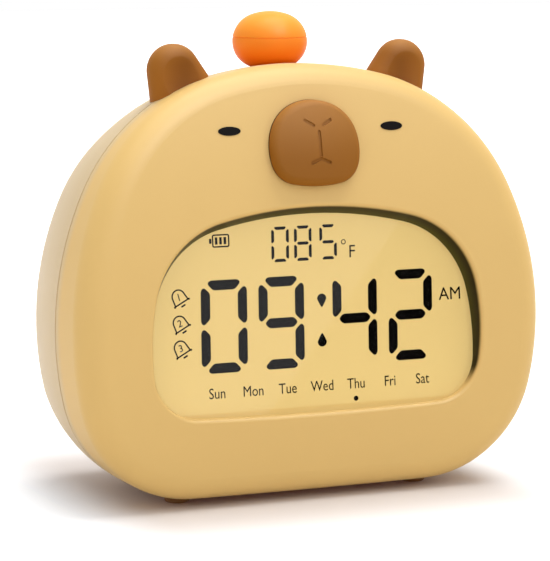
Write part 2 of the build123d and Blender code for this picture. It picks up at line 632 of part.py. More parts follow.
def make_orange():
    """Fruit of two halves with its stem."""
    rise = ORANGE_SEAM_Z - ORANGE_MID_Z
    seam_x = ORANGE_R - ORANGE_SIDE_R + sqrt(ORANGE_SIDE_R ** 2 - rise ** 2)
    seam = Pos(seam_x, ORANGE_SEAM_Z) * Rot(0, 0, 45) * Rectangle(ORANGE_SEAM, ORANGE_SEAM)
    fruit = orange_body() - Pos(0, ORANGE_Y, 0) * revolve(FRONT_VIEW * seam, Axis.Z)
    return fruit + peg(TOP_VIEW, 0, ORANGE_Y, STEM_R, STEM_END_Z, ORANGE_MID_Z)


def make_orange_clip():
    top = GUIDE_END_Z - BODY_GAP
    return tube(TOP_VIEW, 0, ORANGE_Y, CLIP_R, STEM_R, top - CLIP_T, top)


def make_switch(plane, x, y, base):
    housing = block(plane, x, y, SWITCH_W, SWITCH_W, base, base + SWITCH_H)
    bore = PLUNGER_R + RUNNING_FIT
    return housing - peg(plane, x, y, bore, base + SWITCH_BORE_FLOOR, base + SWITCH_H + 1)


def make_plunger(plane, x, y, base, top):
    return peg(plane, x, y, PLUNGER_R, base + SWITCH_H - PLUNGER_DEPTH, top)


def make_top_board():
    board = prism(TOP_VIEW, Pos(0, ORANGE_Y) * RectangleRounded(TOP_BOARD_W, TOP_BOARD_D, 2),
                  TOP_BOARD_Z - BOARD_T, TOP_BOARD_Z)
    for side in (-1, 1):
        board -= peg(TOP_VIEW, side * TOP_POST_X, ORANGE_Y, PILOT_R, 80, 90)
    return board


def make_night_leds():
    lamps = []
    for side in (-1, 1):
        lamp = peg(TOP_VIEW, side * LED_X, ORANGE_Y, LED_R, TOP_BOARD_Z, LED_TOP_Z - LED_R)
        lamps.append(lamp + Pos(side * LED_X, ORANGE_Y, LED_TOP_Z - LED_R) * Sphere(LED_R))
    return group(lamps)


# ---- rear pieces ---------------------------------------------------------------------------------
BUTTON_FLANGE_TOP = BACK_Y - WALL - BODY_GAP
BUTTON_FLANGE_LOW = BUTTON_FLANGE_TOP - BUTTON_FLANGE_T


def make_button(x):
    cap = peg(REAR_VIEW, x, BUTTON_Z, BUTTON_R, BUTTON_FLANGE_TOP, BACK_Y + BUTTON_PROUD)
    cap = fillet(cap.edges().sort_by(Axis.Y)[-1:], 0.8)
    return cap + peg(REAR_VIEW, x, BUTTON_Z, BUTTON_FLANGE_R, BUTTON_FLANGE_LOW, BUTTON_FLANGE_TOP)


def make_key_board():
    board = prism(REAR_VIEW, Pos(0, KEY_BOARD_MID) * RectangleRounded(KEY_BOARD_W, KEY_BOARD_H, 2),
                  KEY_BOARD_Y - BOARD_T, KEY_BOARD_Y)
    for side in (-1, 1):
        board -= peg(REAR_VIEW, side * KEY_POST_X, BUTTON_Z, PILOT_R, KEY_BOARD_Y - 5, KEY_BOARD_Y + 1)
    return board


def make_slider():
    """Knob of the alarm switch, shown at OFF: its lever goes down into the switch body."""
    x = -SLIDER_TRAVEL / 2
    top = BACK_Y - WALL - BODY_GAP
    width, height, thick = SLIDER_FLANGE
    knob = block(REAR_VIEW, x, SLIDER_Z, SLIDER_W, SLIDER_H, top, BACK_Y + SLIDER_PROUD)
    knob += block(REAR_VIEW, x, SLIDER_Z, width, height, top - thick, top)
    return knob + block(REAR_VIEW, x, SLIDER_Z, LEVER_W, LEVER_H, KEY_BOARD_Y + 2.0, top - thick / 2)


def make_slide_switch():
    width, height, depth = SLIDE_BODY
    body = block(REAR_VIEW, 0, SLIDER_Z, width, height, KEY_BOARD_Y, KEY_BOARD_Y + depth)
    slot_w, slot_h = LEVER_W + SLIDER_TRAVEL + 2 * BODY_GAP, LEVER_H + 2 * BODY_GAP
    return body - block(REAR_VIEW, 0, SLIDER_Z, slot_w, slot_h, KEY_BOARD_Y + 1.6, KEY_BOARD_Y + 6)


def make_speaker():
    rear_wall = BACK_Y - WALL
    basket = peg(REAR_VIEW, 0, SPEAKER_Z, SPEAKER_R, rear_wall - 2.0, rear_wall)
    basket += REAR_VIEW * Pos(0, SPEAKER_Z, rear_wall - 3.2) * Cone(MAGNET_R, SPEAKER_R - 1.5, 2.4)
    magnet = peg(REAR_VIEW, 0, SPEAKER_Z, MAGNET_R, rear_wall - SPEAKER_T, rear_wall - 4.4)
    cone = REAR_VIEW * Pos(0, SPEAKER_Z, rear_wall - 0.9) * Cone(3.5, SPEAKER_R - 1.5, 1.8)
    return basket + magnet - cone


def make_usb_socket():
    top = BACK_Y - USB_SUNK
    shell = prism(REAR_VIEW, Pos(0, USB_Z) * RectangleRounded(USB_W, USB_H, 1.4), top - USB_DEPTH, top)
    mouth = RectangleRounded(USB_W - 2 * USB_WALL, USB_H - 2 * USB_WALL, 1.2)
    shell -= prism(REAR_VIEW, Pos(0, USB_Z) * mouth, top - USB_DEPTH + 1.2, top + 1)
    tongue = block(REAR_VIEW, 0, USB_Z, USB_TONGUE_W, USB_TONGUE_T, top - USB_DEPTH, top - 0.8)
    return shell + tongue


def make_usb_board():
    low = BACK_Y - USB_SUNK - USB_DEPTH
    middle = USB_Z - (USB_H + USB_BOARD_T) / 2
    return block(REAR_VIEW, 0, middle, USB_BOARD_W, USB_BOARD_T, low - 1.0, low + 5.2)


# ---- battery -------------------------------------------------------------------------------------
def make_battery_cell():
    cell = Pos(0, CELL_Y, CELL_Z) * Rot(0, 90, 0) * Cylinder(CELL_R, CELL_L)
    cell = fillet(cell.edges().filter_by(GeomType.CIRCLE), 0.8)
    cap = Rot(0, 90, 0) * Cylinder(CELL_CAP_R, CELL_CAP_H)
    return cell + Pos((CELL_L + CELL_CAP_H) / 2, CELL_Y, CELL_Z) * cap


def make_battery_strap(cavity):
    """Band over the cell, with its two legs on the floor of the rear shell."""
    band = Pos(0, CELL_Y, CELL_Z) * Rot(0, 90, 0) * Cylinder(CELL_R + STRAP_T, STRAP_W)
    band += block(TOP_VIEW, 0, CELL_Y, STRAP_W, 2 * (CELL_R + STRAP_T), 0, CELL_Z)
    band -= Pos(0, CELL_Y, CELL_Z) * Rot(0, 90, 0) * Cylinder(CELL_R, STRAP_W + 2)
    band -= block(TOP_VIEW, 0, CELL_Y, STRAP_W + 2, 2 * CELL_R, 0, CELL_Z)
    return band & cavity


# ---- feet and fasteners --------------------------------------------------------------------------
def make_feet():
    feet = []
    for x, y in mirrored(FEET):
        foot = peg(TOP_VIEW, x, y, FOOT_R, 0, FOOT_SEAT_Z)
        feet.append(chamfer(foot.edges().sort_by(Axis.Z)[:1], 0.4))
    return group(feet)


def build():
    front_outer, front_inner = front_head(0.0), front_head(WALL)
    rear_outer, rear_inner = rear_head(0.0), rear_head(WALL)
    outer = front_outer + rear_outer
    cavity = front_inner + rear_inner
    deep = front_head(WALL + EAR_FLANGE_T) + rear_head(WALL + EAR_FLANGE_T)
    nodes = {}
    nodes["front_shell"] = make_front_shell(front_outer, front_inner)
    nodes["rear_shell"] = make_rear_shell(rear_outer, rear_inner)
    nodes["display_cover"] = make_display_cover()
    nodes["display_glass"] = make_display_glass()
    nodes["light_guide"] = make_light_guide()
    nodes["backlight_leds"] = make_backlight_leds()
    nodes["display_frame"] = make_display_frame()
    nodes["zebra_strip"] = make_zebra_strip()
    nodes["main_board"] = make_main_board()
    nodes["clock_chip"] = make_clock_chip()
    nodes["clock_crystal"] = make_crystal()
    nodes["temperature_sensor"] = make_temperature_sensor()
    nodes["battery_plug"] = make_battery_plug()
    nodes["snout"] = make_snout(outer)
    nodes["snout_push_nuts"] = make_snout_nuts()
    skin = front_head(-EYE_PROUD)
    for name, side in (("left", 1), ("right", -1)):
        nodes[f"eye_{name}"] = make_eye(side, skin)
        nodes[f"ear_{name}"] = make_ear(side, outer, cavity, deep)
    nodes["orange_button"] = make_orange()
    nodes["orange_clip"] = make_orange_clip()
    nodes["orange_switch"] = make_switch(TOP_VIEW, 0, ORANGE_Y, TOP_BOARD_Z)
    nodes["orange_plunger"] = make_plunger(TOP_VIEW, 0, ORANGE_Y, TOP_BOARD_Z, STEM_END_Z)
    nodes["top_board"] = make_top_board()
    nodes["night_light_leds"] = make_night_leds()
    for name, x in BUTTONS.items():
        nodes[f"{name}_button"] = make_button(x)
        nodes[f"{name}_plunger"] = make_plunger(REAR_VIEW, x, BUTTON_Z, KEY_BOARD_Y, BUTTON_FLANGE_LOW)
    nodes["button_switches"] = group([make_switch(REAR_VIEW, x, BUTTON_Z, KEY_BOARD_Y)
                                      for x in BUTTONS.values()])
    nodes["button_board"] = make_key_board()
    nodes["alarm_slider"] = make_slider()
    nodes["slide_switch"] = make_slide_switch()
    nodes["speaker"] = make_speaker()
    nodes["usb_socket"] = make_usb_socket()
    nodes["usb_board"] = make_usb_board()
    nodes["battery_cell"] = make_battery_cell()
    nodes["battery_strap"] = make_battery_strap(rear_inner)
    nodes["rubber_feet"] = make_feet()
    behind_display = Plane(origin=DISPLAY.origin, x_dir=(-1, 0, 0), z_dir=-DISPLAY.z_dir)
    nodes["shell_screws"] = group([screw(REAR_VIEW, -x, z, BOSS_MEET_Y + 2, 12)
                                   for x, z in mirrored(SHELL_SCREWS)])
    nodes["frame_screws"] = group([screw(behind_display, -x, v, -FRAME_BACK, 6, PILOT_R, SMALL_HEAD_R)
                                   for x, v in mirrored(FRAME_SCREWS)])
    nodes["board_screws"] = group([screw(behind_display, -x, v, -BOARD_BACK, 4.8, PILOT_R, SMALL_HEAD_R)
                                   for x, v in mirrored(BOARD_SCREWS)])
    key_seat = Plane(origin=(0, 0, 0), x_dir=(1, 0, 0), z_dir=(0, -1, 0))
    nodes["button_board_screws"] = group([screw(key_seat, side * KEY_POST_X, BUTTON_Z,
                                                -(KEY_BOARD_Y - BOARD_T), 6, PILOT_R, SMALL_HEAD_R)
                                          for side in (-1, 1)])
    under = Plane(origin=(0, 0, 0), x_dir=(1, 0, 0), z_dir=(0, 0, -1))
    nodes["top_board_screws"] = group([screw(under, side * TOP_POST_X, -ORANGE_Y,
                                             -(TOP_BOARD_Z - BOARD_T), 6, PILOT_R, SMALL_HEAD_R)
                                       for side in (-1, 1)])
    return nodes


def export(nodes):
    os.makedirs("parts", exist_ok=True)
    for name, solid in nodes.items():
        export_step(solid, f"parts/{name}.step")
        box = solid.bounding_box()
        print(f"{name}: {len(solid.solids())} solid(s), volume {solid.volume:.0f}, "
              f"x {box.min.X:.1f} to {box.max.X:.1f}, y {box.min.Y:.1f} to {box.max.Y:.1f}, "
              f"z {box.min.Z:.1f} to {box.max.Z:.1f}")


export(build())
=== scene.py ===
from math import cos, radians, sin

import bmesh
import bpy
from mathutils import Matrix, Vector


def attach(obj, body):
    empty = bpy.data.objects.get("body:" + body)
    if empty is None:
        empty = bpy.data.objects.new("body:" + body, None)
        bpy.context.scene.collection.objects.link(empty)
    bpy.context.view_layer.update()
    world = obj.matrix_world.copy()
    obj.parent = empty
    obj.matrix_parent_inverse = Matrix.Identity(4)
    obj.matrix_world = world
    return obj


# Looks of the bedside clock: soft-touch case, lit display with its legends, translucent orange.
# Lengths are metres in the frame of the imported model, except in the legends, which are laid out in
# millimetres on the display and on the back.

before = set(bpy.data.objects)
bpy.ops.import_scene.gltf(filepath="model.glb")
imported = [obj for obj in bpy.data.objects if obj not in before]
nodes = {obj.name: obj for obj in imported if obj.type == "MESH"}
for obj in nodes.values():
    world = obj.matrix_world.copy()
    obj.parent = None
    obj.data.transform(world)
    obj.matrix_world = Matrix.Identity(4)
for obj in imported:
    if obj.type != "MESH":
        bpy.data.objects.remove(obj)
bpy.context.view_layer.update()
MM = 0.001

# The places on the clock that its colours follow. In a pair of heights or depths, the colour
# changes from the first to the second. Depths are behind the crowned front of the case.
FACE_R, FACE_Y, FACE_Z = 0.222, -0.0295, 0.035      # crowned front of the case
PARTING_Y = -0.0112                                 # where the front and rear shells meet
RECESS_MID = 0.0455                                 # height of the middle of the display's recess
RECESS_HALF = (0.0475, 0.0295)                      # a soft-cornered oval just outside its rim
SILL_HEIGHTS = (0.024, 0.03)                        # below these heights the painted shade of the recess wall fades out, so the lower rim keeps the case's colour
WALL_START, WALL_END = (0.0002, 0.0013), (0.0095, 0.009)    # depths of the recess's wall, between which its painted shade lies
# Depths over which the painted shade on the recess wall lightens from its rim inwards.
RECESS_SHADE_DEPTHS = (0.001, 0.0055)
SNOUT_JOINT_SHADE = (-0.0008, -0.0002)                    # depths of the painted shade in the joint where the snout meets the face
# Heights over which painted light pales the top of the snout.
SNOUT_LIT_HEIGHTS = (0.08, 0.095)
EAR_MIDDLE = 0.0282                                 # how far to the side the ears are
EAR_HALF_MIDDLE = 0.0065                            # half width of the painted shade down the middle of an ear
# Heights over which the painted shade down an ear's middle fades out at the top, and the painted
# light at its tip grows.
EAR_SHADE_TOP = (0.1085, 0.103)
EAR_LIT_TIP = (0.104, 0.111)
# Heights over which the orange goes from painted shade below to painted light on top.
ORANGE_LIT_HEIGHTS = (0.1015, 0.115)
SOCKET_Z = 0.0228
TONGUE_HALF = (0.0034, 0.00038)                     # half width and thickness of its tongue


# ---- materials ----------------------------------------------------------------------------------
class Value:
    """A number that changes over a surface, for which Python's operators add the Math nodes."""

    def __init__(self, finish, socket):
        self.finish = finish
        self.socket = socket

    def math(self, operation, *values):
        return self.finish.node("ShaderNodeMath", {"operation": operation}, *values)

    def __add__(self, other):
        return self.math("ADD", self, other)

    __radd__ = __add__

    def __sub__(self, other):
        return self.math("SUBTRACT", self, other)

    def __rsub__(self, other):
        return self.math("SUBTRACT", other, self)

    def __mul__(self, other):
        return self.math("MULTIPLY", self, other)

    __rmul__ = __mul__

    def size(self):
        return self.math("ABSOLUTE", self)

    def root(self):
        return self.math("SQRT", self)

    def ramp(self, low, high):
        """0 below low, 1 above high and smooth between them; high may be the lower one."""
        smooth = {"interpolation_type": "SMOOTHSTEP"}
        return self.finish.node("ShaderNodeMapRange", smooth, self, low, high, 0.0, 1.0)


class Finish:
    """One material: its shader, and the one method that adds any other node."""

    def __init__(self, name, colour, roughness, **constants):
        self.material = bpy.data.materials.new(name)
        self.material.use_nodes = True
        self.tree = self.material.node_tree
        self.shader = self.tree.nodes["Principled BSDF"]
        self.set("Base Color", (*colour, 1.0))
        self.set("Roughness", roughness)
        for key, value in constants.items():
            self.set(key.replace("_", " "), value)

    def set(self, key, value):
        self.join(self.shader.inputs[key], value)

    def join(self, socket, value):
        if isinstance(value, Value):
            self.tree.links.new(value.socket, socket)
        else:
            socket.default_value = value

    def node(self, kind, settings, *values, result=0, **named):
        made = self.tree.nodes.new(kind)
        for key, value in settings.items():
            setattr(made, key, value)
        for key, value in [*enumerate(values), *named.items()]:
            self.join(made.inputs[key], value)
        return Value(self, made.outputs[result])

    def place(self):
        return self.node("ShaderNodeTexCoord", {}, result="Object")

    def axes(self):
        """x, y and z of the point on the object."""
        return [self.node("ShaderNodeSeparateXYZ", {}, self.place(), result=axis) for axis in "XYZ"]

    def noise(self, grain, detail=2.0):
        """Noise from 0 to 1 whose blotches are about this many metres across."""
        return self.node("ShaderNodeTexNoise", {}, Vector=self.place(), Scale=1 / grain,
                         Detail=detail)

    def blend(self, factor, low, high):
        """Colour from low to high as the factor goes from 0 to 1. Either may be a socket."""
        made = self.tree.nodes.new("ShaderNodeMix")
        made.data_type = "RGBA"
        for key, value in zip((0, 6, 7), (factor, low, high)):
            self.join(made.inputs[key], (*value, 1.0) if isinstance(value, tuple) else value)
        return Value(self, made.outputs[2])

    def bump(self, height, depth):
        """Surface relief from a height of 0 to 1, this many metres deep."""
        relief = self.node("ShaderNodeBump", {}, Strength=1.0, Distance=depth, Height=height)
        self.set("Normal", relief)


MOTTLE_GRAIN = 0.012                # blotches of colour and gloss in moulded plastic
GLOSS_SPREAD = 0.08                 # and how far its roughness wanders


def moulded(name, colour, roughness, grain=0.0004, depth=0.000004, mottle=0.05, **constants):
    """Moulded plastic: fine spark-eroded grain, and a slight unevenness of colour and gloss."""
    finish = Finish(name, colour, roughness, **constants)
    cloud = finish.noise(MOTTLE_GRAIN, 3.0)
    lighter = tuple(min(1.0, c * (1 + mottle)) for c in colour)
    darker = tuple(c * (1 - mottle) for c in colour)
    finish.tint = finish.blend(cloud, darker, lighter)
    finish.set("Base Color", finish.tint)
    finish.set("Roughness", roughness + GLOSS_SPREAD * (cloud - 0.5))
    finish.bump(finish.noise(grain), depth)
    return finish


CREAM = (0.75, 0.5, 0.178)
# Paler cream for a painted reflection on the sides behind the parting line.
REFLECTION_CREAM = (0.65, 0.49, 0.27)
BROWN = (0.29, 0.105, 0.009)
# Painted light on the top of the snout, and painted shade in the joint where it sits on the face:
SNOUT_LIT_BROWN = (0.38, 0.16, 0.03)
JOINT_SHADE_BROWN = (0.06, 0.02, 0.002)
EAR_SHADE_AND_LIGHT_BROWNS = (0.24, 0.08, 0.007), (0.34, 0.122, 0.013), (0.44, 0.2, 0.05)   # painted shade down the middle, the plain side, and painted light at the tip
RECESS_SHADES = (0.022, 0.015, 0.002), (0.08, 0.07, 0.01)          # painted shade on the recess wall, at its rim and further in, where a painted reflection of the display lightens it
ORANGE_SHADE_AND_LIGHT = (1.0, 0.165, 0.0), (1.0, 0.38, 0.045)             # painted shade at the bottom of the orange and painted light at its top
GLOWS = (0.84, 0.6, 0.225), (0.88, 0.64, 0.25)              # of the backlight
PAPERS = (0.49, 0.355, 0.13), (0.51, 0.375, 0.145)          # of the display under it
STEEL = (0.6, 0.6, 0.6)


def face_depth(finish):
    """Metres behind the crowned front of the case, less than 0 in front of it."""
    y, z = finish.axes()[1:]
    back, up = y - FACE_Y - FACE_R, z - FACE_Z
    return FACE_R - (back * back + up * up).root()


def case_finish():
    """Soft-touch cream, with a painted reflection that makes it paler behind the parting line, and
    painted shade on the wall of the recess.
    """
    finish = moulded("soft_touch_cream", CREAM, 0.42, mottle=0.012, Specular_IOR_Level=0.15,
                     Sheen_Weight=0.04, Sheen_Roughness=0.25)
    x, y, z = finish.axes()
    # Painted reflection: the cream turns paler from just in front of the parting line backwards,
    # where the sides turn away.
    cream_with_reflection = finish.blend(y.ramp(PARTING_Y - 0.004, PARTING_Y + 0.0005), finish.tint, REFLECTION_CREAM)
    across = x * (1 / RECESS_HALF[0])
    along = (z - RECESS_MID) * (1 / RECESS_HALF[1])
    across, along = across * across, along * along
    inside = (across * across + along * along).ramp(1.0, 0.97)
    depth = face_depth(finish)
    # Painted shade on the wall of the display's recess, darkest at the rim, with a painted
    # reflection of the display's glow further in.
    wall = depth.ramp(*WALL_START) * inside * depth.ramp(*WALL_END) * z.ramp(*SILL_HEIGHTS)
    recess_shade = finish.blend(depth.ramp(*RECESS_SHADE_DEPTHS), *RECESS_SHADES)
    finish.set("Base Color", finish.blend(wall, cream_with_reflection, recess_shade))
    return finish


def snout_finish():
    """Soft-touch brown, with painted light on its top and painted shade in the joint where the snout
    sits on the face.
    """
    finish = moulded("snout_brown", BROWN, 0.6, mottle=0.03, Specular_IOR_Level=0.1)
    z = finish.axes()[2]
    # Painted light on the top, then painted shade in the joint with the face.
    lit_top = finish.blend(z.ramp(*SNOUT_LIT_HEIGHTS), finish.tint, SNOUT_LIT_BROWN)
    joint = face_depth(finish).ramp(*SNOUT_JOINT_SHADE)
    finish.set("Base Color", finish.blend(joint, lit_top, JOINT_SHADE_BROWN))
    return finish


def ear_finish():
    """The same brown, with painted shade down the middle of the ear and painted light at its tip."""
    finish = moulded("ear_brown", BROWN, 0.6, mottle=0.03, Specular_IOR_Level=0.1)
    x, _, z = finish.axes()
    beside = (x.size() - EAR_MIDDLE).size()
    middle = beside.ramp(EAR_HALF_MIDDLE, 0.0) * z.ramp(*EAR_SHADE_TOP)
    lit_top = finish.blend(z.ramp(*EAR_LIT_TIP), *EAR_SHADE_AND_LIGHT_BROWNS[1:])
    finish.set("Base Color", finish.blend(middle, lit_top, EAR_SHADE_AND_LIGHT_BROWNS[0]))
    return finish


def orange_finish():
    """Tinted translucent plastic, with painted shade making it deep orange below and painted light
    making it paler on top, where the light comes in.
    """
    finish = moulded("tinted_orange", (1.0, 0.2, 0.004), 0.4, mottle=0.0, Specular_IOR_Level=0.08,
                     Subsurface_Weight=0.2, Subsurface_Scale=0.003,
                     Subsurface_Radius=(1.0, 0.35, 0.1))
    z = finish.axes()[2]
    finish.set("Base Color", finish.blend(z.ramp(*ORANGE_LIT_HEIGHTS), *ORANGE_SHADE_AND_LIGHT))
    return finish


def display_finish():
    """Backlit face of the display, a little uneven as the light guide leaves it."""
    finish = Finish("lit_display", PAPERS[0], 0.3, Specular_IOR_Level=0.0, Coat_Weight=0.7,
                    Coat_Roughness=0.02)
    glow = finish.noise(0.03, 1.0)
    finish.set("Emission Color", finish.blend(glow, *GLOWS))
    finish.set("Emission Strength", 0.58)
    finish.set("Base Color", finish.blend(glow, *PAPERS))
    return finish


def brushed(name, colour, roughness):
    """Plated metal with fine scratches and a roughness that wanders."""
    finish = Finish(name, colour, roughness, Metallic=1.0)
    finish.bump(finish.noise(0.0006, 4.0), 0.000006)
    finish.set("Roughness", roughness + 0.15 * (finish.noise(0.004) - 0.5))
    return finish


def socket_finish():
    """Steel shell of the charging socket, with its moulded black tongue."""
    finish = brushed("socket_steel", STEEL, 0.3)
    x, _, z = finish.axes()
    half_wide, half_thick = TONGUE_HALF
    over = (z - SOCKET_Z).size().ramp(half_thick + 0.00004, half_thick)
    tongue = over * x.size().ramp(half_wide + 0.00005, half_wide)
    finish.set("Base Color", finish.blend(tongue, STEEL, (0.012, 0.012, 0.013)))
    finish.set("Metallic", 1.0 - tongue)
    return finish


def paint(finish, *names):
    """Gives CAD nodes this finish."""
    for name in names:
        slots = nodes[name].material_slots
        if slots:
            for entry in slots:
                entry.material = finish.material
        else:
            nodes[name].data.materials.append(finish.material)


cream = case_finish()
brown = moulded("soft_touch_brown", BROWN, 0.6, mottle=0.03, Specular_IOR_Level=0.1)
orange = orange_finish()
black = moulded("satin_black", (0.006, 0.005, 0.005), 0.35, mottle=0.0, Specular_IOR_Level=0.03)
ink = Finish("display_black", (0.004, 0.003, 0.003), 0.3, Specular_IOR_Level=0.0, Coat_Weight=0.7,
             Coat_Roughness=0.02)
legend_ink = moulded("legend_print", (0.1, 0.045, 0.012), 0.55, mottle=0.02)
lit = display_finish()
clear = Finish("clear_acrylic", (0.02, 0.02, 0.018), 0.05, Alpha=0.04)
white = moulded("natural_white_plastic", (0.78, 0.78, 0.75), 0.5)
frosted = moulded("frosted_guide", (0.9, 0.88, 0.8), 0.4, grain=0.0008, depth=0.00002)
lamp = moulded("lamp_epoxy", (1.0, 0.78, 0.4), 0.15, Coat_Weight=0.6)
pink = moulded("contact_rubber", (0.55, 0.2, 0.2), 0.7)
lacquer = moulded("board_lacquer", (0.02, 0.13, 0.045), 0.35, grain=0.0015, depth=0.00001,
                  Coat_Weight=0.4)
epoxy = moulded("moulded_epoxy", (0.02, 0.02, 0.021), 0.55, grain=0.0002)
zinc = brushed("zinc_steel", STEEL, 0.35)
sleeve = moulded("shrink_sleeve", (0.02, 0.09, 0.32), 0.3, Coat_Weight=0.3)
rubber = moulded("foot_rubber", (0.24, 0.1, 0.025), 0.8, grain=0.0006, depth=0.00001)

paint(cream, "front_shell", "rear_shell")
paint(snout_finish(), "snout")
paint(ear_finish(), "ear_left", "ear_right")
paint(brown, "alarm_slider", "set_button", "up_button", "down_button", "light_button")
paint(orange, "orange_button")
paint(black, "eye_left", "eye_right")
paint(lit, "display_glass")
paint(clear, "display_cover")
paint(white, "display_frame", "battery_plug", "orange_clip", "orange_plunger", "battery_strap",
      "set_plunger", "up_plunger", "down_plunger", "light_plunger")
paint(frosted, "light_guide")
paint(lamp, "backlight_leds", "night_light_leds")
paint(pink, "zebra_strip")
paint(lacquer, "main_board", "top_board", "button_board", "usb_board")
paint(epoxy, "clock_chip", "temperature_sensor", "orange_switch", "button_switches", "speaker")
paint(zinc, "clock_crystal", "snout_push_nuts", "slide_switch", "shell_screws", "frame_screws",
      "board_screws", "button_board_screws", "top_board_screws")
paint(socket_finish(), "usb_socket")
paint(sleeve, "battery_cell")
paint(rubber, "rubber_feet")


# ---- shapes of the legends ----------------------------------------------------------------------
LEAN = radians(6)                   # the display leans back
COVER_Y, COVER_Z = -0.0256, 0.043   # middle of the front of its cover
BACK_Y = 0.0298
GLASS_DEPTH = 1.33                  # the display's legends lie this far behind the cover's front
BACK_DEPTH = 0.01                   # and those on the back this far inside it
INK = 0.03                          # they are this thick
SLANT = 0.03                        # sideways per millimetre of height
CAPITAL = 0.73                      # height of a capital as a share of the font's size

# From legends in x and y, with z towards the reader, to the clock.
DISPLAY = Matrix(((1, 0, 0, 0),
                  (0, sin(LEAN), -cos(LEAN), COVER_Y),
                  (0, cos(LEAN), sin(LEAN), COVER_Z),
                  (0, 0, 0, 1)))
BACK = Matrix(((-1, 0, 0, 0), (0, 0, 1, BACK_Y), (0, 1, 0, 0), (0, 0, 0, 1)))


def outline_face(shape, points):
    """Flat face with these corners."""
    return shape.faces.new([shape.verts.new((x, y, 0)) for x, y in points])


def oblong(left, right, low, high):
    """Corners of a rectangle."""
    return [(left, low), (right, low), (right, high), (left, high)]


def rounded(shape, points, radius):
    """Flat face with these corners, rounded off."""
    face = outline_face(shape, points)
    bmesh.ops.bevel(shape, geom=list(face.verts), offset=radius, offset_type="OFFSET", segments=4,
                    profile=0.5, affect="VERTICES", material=-1)


def ringed(shape, points, radius, line):
    """The same, as a line of that width along the outline."""
    part = bmesh.new()
    rounded(part, points, radius)
    hollow(part, part.faces[:], line)
    merge(shape, part)


def hollow(shape, faces, line):
    """Leaves a line of that width inside the edge of each face."""
    bmesh.ops.inset_region(shape, faces=faces, thickness=line, use_boundary=True,
                           use_even_offset=True)
    bmesh.ops.delete(shape, geom=faces, context="FACES")


def merge(shape, part, place=Matrix()):
    """Adds a part to a shape at its place and frees the part."""
    part.transform(place)
    mesh = bpy.data.meshes.new("part")
    part.to_mesh(mesh)
    part.free()
    shape.from_mesh(mesh)
    bpy.data.meshes.remove(mesh)


def print_on(name, shape, plane, level, finish=ink, slant=0.0):
    """Gives a flat shape its thickness and lays it on a plane, as print that rides on the case."""
    bmesh.ops.recalc_face_normals(shape, faces=shape.faces[:])
    for face in shape.faces:
        if face.normal.z < 0:
            face.normal_flip()
    grown = bmesh.ops.extrude_face_region(shape, geom=shape.faces[:])
    risen = [part for part in grown["geom"] if isinstance(part, bmesh.types.BMVert)]
    bmesh.ops.translate(shape, verts=risen, vec=(0, 0, INK))
    lean = Matrix(((1, slant, 0, 0), (0, 1, 0, 0), (0, 0, 1, 0), (0, 0, 0, 1)))
    to_metres = Matrix.Diagonal((MM, MM, MM, 1))
    shape.transform(plane @ to_metres @ Matrix.Translation((0, 0, level)) @ lean)
    bmesh.ops.recalc_face_normals(shape, faces=shape.faces[:])
    mesh = bpy.data.meshes.new(name)
    shape.to_mesh(mesh)
    shape.free()
    mesh.materials.append(finish.material)
    piece = bpy.data.objects.new(name, mesh)
    bpy.context.scene.collection.objects.link(piece)
    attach(piece, "case")


def word(shape, text, x, y, height, squeeze=1.0, turn=0.0, weight=0.0):
    """Letters centred on a point, with capitals of this height."""
    curve = bpy.data.curves.new("word", "FONT")
    curve.body = text
    curve.align_x = "CENTER"
    curve.size = height / CAPITAL
    curve.offset = weight
    curve.resolution_u = 3
    flat = bpy.data.objects.new("word", curve)
    mesh = bpy.data.meshes.new_from_object(flat)
    part = bmesh.new()
    part.from_mesh(mesh)
    bpy.data.objects.remove(flat)
    bpy.data.meshes.remove(mesh)
    bpy.data.curves.remove(curve)
    bmesh.ops.remove_doubles(part, verts=part.verts[:], dist=0.001)
    centre = Matrix.Diagonal((squeeze, 1, 1, 1)) @ Matrix.Translation((0, -height / 2, 0))
    merge(shape, part, Matrix.Translation((x, y, 0)) @ Matrix.Rotation(turn, 4, "Z") @ centre)


def leaf(length, thick, shift):
    """Corners of a segment that lies along x; its tips are shifted towards the digit's outside."""
    half, up = length / 2, thick / 2
    tip = shift * up
    outer = half - (1 - shift) * up * OUTER_SLOPE
    inner = half - (1 + shift) * up * INNER_SLOPE
    return [(-half, tip), (-inner, -up), (inner, -up), (half, tip), (outer, up), (-outer, up)]


# Segments of a digit: centre as a share of half its width and height, turn, and shift of the tips.
SHIFT = 0.35
OUTER_SLOPE, INNER_SLOPE = 0.9, 0.95
SEGMENTS = {"top": (0, 1, 0, SHIFT), "upper_right": (1, 0.5, -90, SHIFT),
            "lower_right": (1, -0.5, -90, SHIFT), "bottom": (0, -1, 180, SHIFT),
            "lower_left": (-1, -0.5, 90, SHIFT), "upper_left": (-1, 0.5, 90, SHIFT),
            "middle": (0, 0, 0, 0)}
UNLIT = {"0": ["middle"], "9": ["lower_left"], "4": ["top", "bottom", "lower_left"],
         "2": ["upper_left", "lower_right"], "8": [], "5": ["upper_right", "lower_left"]}


def digit(shape, figure, x, y, wide, tall, thick, across, upright, soft):
    """One seven-segment figure; wide and tall are between the middles of its outer segments."""
    for name, (right, up, turn, shift) in SEGMENTS.items():
        if name in UNLIT[figure]:
            continue
        part = bmesh.new()
        rounded(part, leaf(upright if turn % 180 else across, thick, shift), soft)
        place = Matrix.Translation((x + right * wide / 2, y + up * tall / 2, 0))
        merge(shape, part, place @ Matrix.Rotation(radians(turn), 4, "Z"))


def arc(radius, turns, y=0.0):
    """Points on a circle at these angles in degrees; its middle is at this height."""
    return [(radius * cos(radians(turn)), y + radius * sin(radians(turn))) for turn in turns]


